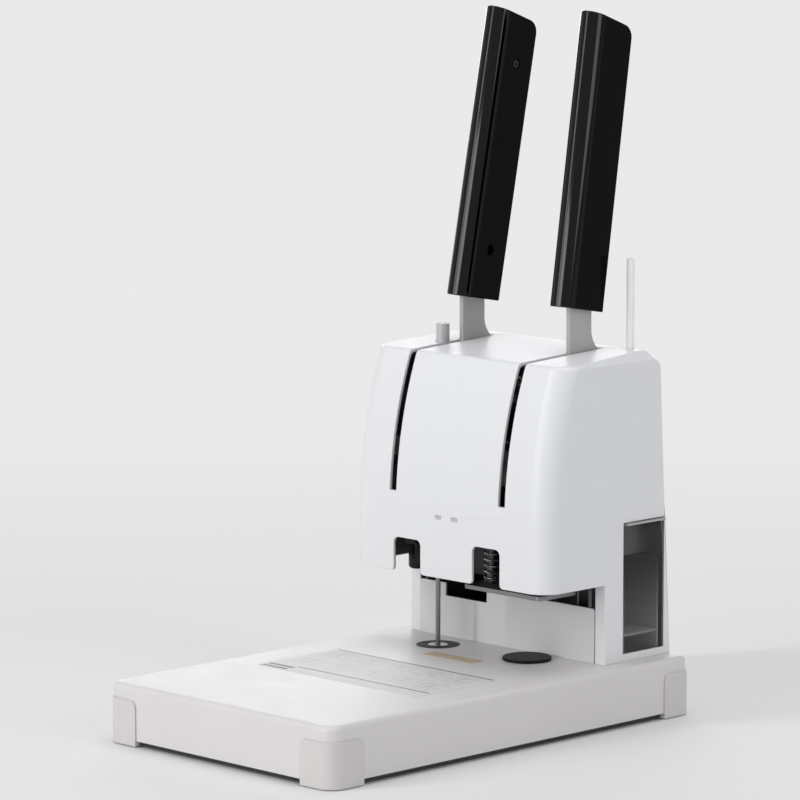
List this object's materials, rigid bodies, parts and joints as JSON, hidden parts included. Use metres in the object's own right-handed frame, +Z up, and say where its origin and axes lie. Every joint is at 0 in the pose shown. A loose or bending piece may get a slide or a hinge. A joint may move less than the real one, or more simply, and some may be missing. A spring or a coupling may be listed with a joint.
{
  "type": "hot melt binding machine",
  "caption": "Desk machine that drills a paper stack with one lever and rivets it with a heated tube with the other; curved head over a flat table with paper fence.",
  "frame": {"origin": "centre of the footprint of feet and base at the desk", "axes": "+X to the operator's right, +Y from the operator towards the rear, +Z up"},
  "size_m": [0.2158, 0.343, 0.4783],
  "materials": {
    "white_base": "satin light grey paint",
    "white_housing": "fine matte moulded plastic",
    "steel": "machined steel",
    "zinc_plate": "zinc-plated sheet",
    "black_paint": "satin black paint",
    "grey_paint": "light grey paint",
    "fence_paint": "mid grey paint",
    "black_gloss": "glossy moulded plastic",
    "black_plastic": "matte black plastic",
    "rubber": "matte rubber",
    "light_grey_plastic": "matte light grey plastic",
    "smoked_plastic": "smoked translucent plastic",
    "nylon": "translucent white nylon",
    "brass": "machined brass",
    "ceramic": "insulating ceramic",
    "label_print": "printed film",
    "tan_print": "printed film",
    "board_green": "laminate with components",
    "belt_rubber": "toothed belt",
    "lens": "clear lens",
    "aluminium": "machined aluminium",
    "lining": "acetal"
  },
  "bodies": {
    "frame": {"base_cover": "white_base", "base_plate": "black_paint", "housing_screws": "steel", "corner_feet": "white_base", "rubber_pads": "rubber", "instruction_label": "label_print", "strip_label": "tan_print", "lower_die": "steel", "die_ring": "black_plastic", "support_blocks": "aluminium", "front_cover": "white_housing", "indicator_lenses": "lens", "rear_cover": "white_housing", "power_module": "black_plastic", "fence": "fence_paint", "frame_plate_left": "zinc_plate", "frame_plate_right": "zinc_plate", "lower_bridge": "zinc_plate", "upper_bridge": "zinc_plate", "guide_posts": "steel", "stop_buffer": "rubber", "lever_shaft": "steel", "shaft_collars": "lining", "melt_return_spring": "steel", "drill_return_spring": "steel", "timer_unit": "black_plastic", "tube_socket": "black_plastic", "control_board": "board_green"},
    "left_lever": {"left_lever_plate": "grey_paint", "left_sector_gear": "steel", "left_grip": "black_gloss", "left_grip_screws": "steel"},
    "right_lever": {"right_lever_plate": "grey_paint", "right_sector_gear": "steel", "right_grip": "black_gloss", "right_grip_screws": "steel"},
    "melting_head": {"melt_carriage": "aluminium", "melt_rack": "steel", "heater_stem": "ceramic", "heater_block": "brass", "heater_cartridge": "steel", "upper_die": "brass"},
    "drill_head": {"drill_carriage": "aluminium", "drill_rack": "steel", "drill_motor": "zinc_plate", "spindle_bearings": "steel", "drive_belt": "belt_rubber", "press_springs": "steel"},
    "drill_spindle": {"spindle": "steel", "spindle_pulley": "aluminium", "chuck": "steel", "drill_bit": "steel"},
    "motor_rotor": {"motor_pulley": "aluminium"},
    "paper_clamp": {"press_plate": "zinc_plate"},
    "pin": {"guide_pin": "steel"},
    "turning_pad": {"drill_pad": "black_plastic"},
    "time_dial": {"time_knob": "light_grey_plastic"},
    "mains_rocker": {"switch_rocker": "black_gloss"},
    "supply_tube": {"rivet_tube": "nylon"},
    "drawer": {"chip_drawer": "smoked_plastic"}
  },
  "joints": [
    {"name": "left_lever_hinge", "type": "hinge", "parent": "frame", "child": "left_lever", "pos_m": [-0.0504, 0.1264, 0.173], "axis": [1, 0, 0], "range_deg": [0, 82], "stiffness_Nm_per_rad": 0.5, "springref_deg": -57.3},
    {"name": "melt_slide", "type": "slide", "parent": "frame", "child": "melting_head", "axis": [0, 0, -1], "range_m": [0, 0.0575], "deforming": ["melt_return_spring"]},
    {"name": "right_lever_hinge", "type": "hinge", "parent": "frame", "child": "right_lever", "pos_m": [0.0504, 0.1264, 0.173], "axis": [1, 0, 0], "range_deg": [0, 82], "stiffness_Nm_per_rad": 0.6, "springref_deg": -57.3},
    {"name": "drill_slide", "type": "slide", "parent": "frame", "child": "drill_head", "axis": [0, 0, -1], "range_m": [0, 0.0575], "deforming": ["drill_return_spring"]},
    {"name": "clamp_slide", "type": "slide", "parent": "drill_head", "child": "paper_clamp", "axis": [0, 0, 1], "range_m": [0, 0.0126], "deforming": ["press_springs"]},
    {"name": "drill_spin", "type": "hinge", "parent": "drill_head", "child": "drill_spindle", "pos_m": [0.04, 0.0728, 0.16], "axis": [0, 0, 1], "continuous": true},
    {"name": "motor_spin", "type": "hinge", "parent": "drill_head", "child": "motor_rotor", "pos_m": [0.001, 0.0935, 0.225], "axis": [0, 0, 1], "continuous": true},
    {"name": "pin_lift", "type": "slide", "parent": "frame", "child": "pin", "axis": [0, 0, 1], "range_m": [0, 0.054]},
    {"name": "pad_turn", "type": "hinge", "parent": "frame", "child": "turning_pad", "pos_m": [0.04, 0.0777, 0.042], "axis": [0, 0, 1], "continuous": true},
    {"name": "dial_turn", "type": "hinge", "parent": "frame", "child": "time_dial", "pos_m": [-0.0596, 0.097, 0.25], "axis": [0, 0, 1], "range_deg": [-135, 135]},
    {"name": "rocker_tilt", "type": "hinge", "parent": "frame", "child": "mains_rocker", "pos_m": [-0.0275, 0.1624, 0.064], "axis": [1, 0, 0], "range_deg": [-16, 0]},
    {"name": "tube_lift", "type": "slide", "parent": "frame", "child": "supply_tube", "axis": [0, 0, 1], "range_m": [0, 0.05]},
    {"name": "drawer_slide", "type": "slide", "parent": "frame", "child": "drawer", "axis": [1, 0, 0], "range_m": [0, 0.04]}
  ],
  "couplings": [
    {"joint": "melt_slide", "follows": "left_lever_hinge", "m_per_rad": 0.04},
    {"joint": "drill_slide", "follows": "right_lever_hinge", "m_per_rad": 0.04},
    {"joint": "clamp_slide", "follows": "right_lever_hinge", "m_per_rad": 0.008697},
    {"joint": "motor_spin", "follows": "drill_spin", "ratio": 1.26}
  ]
}
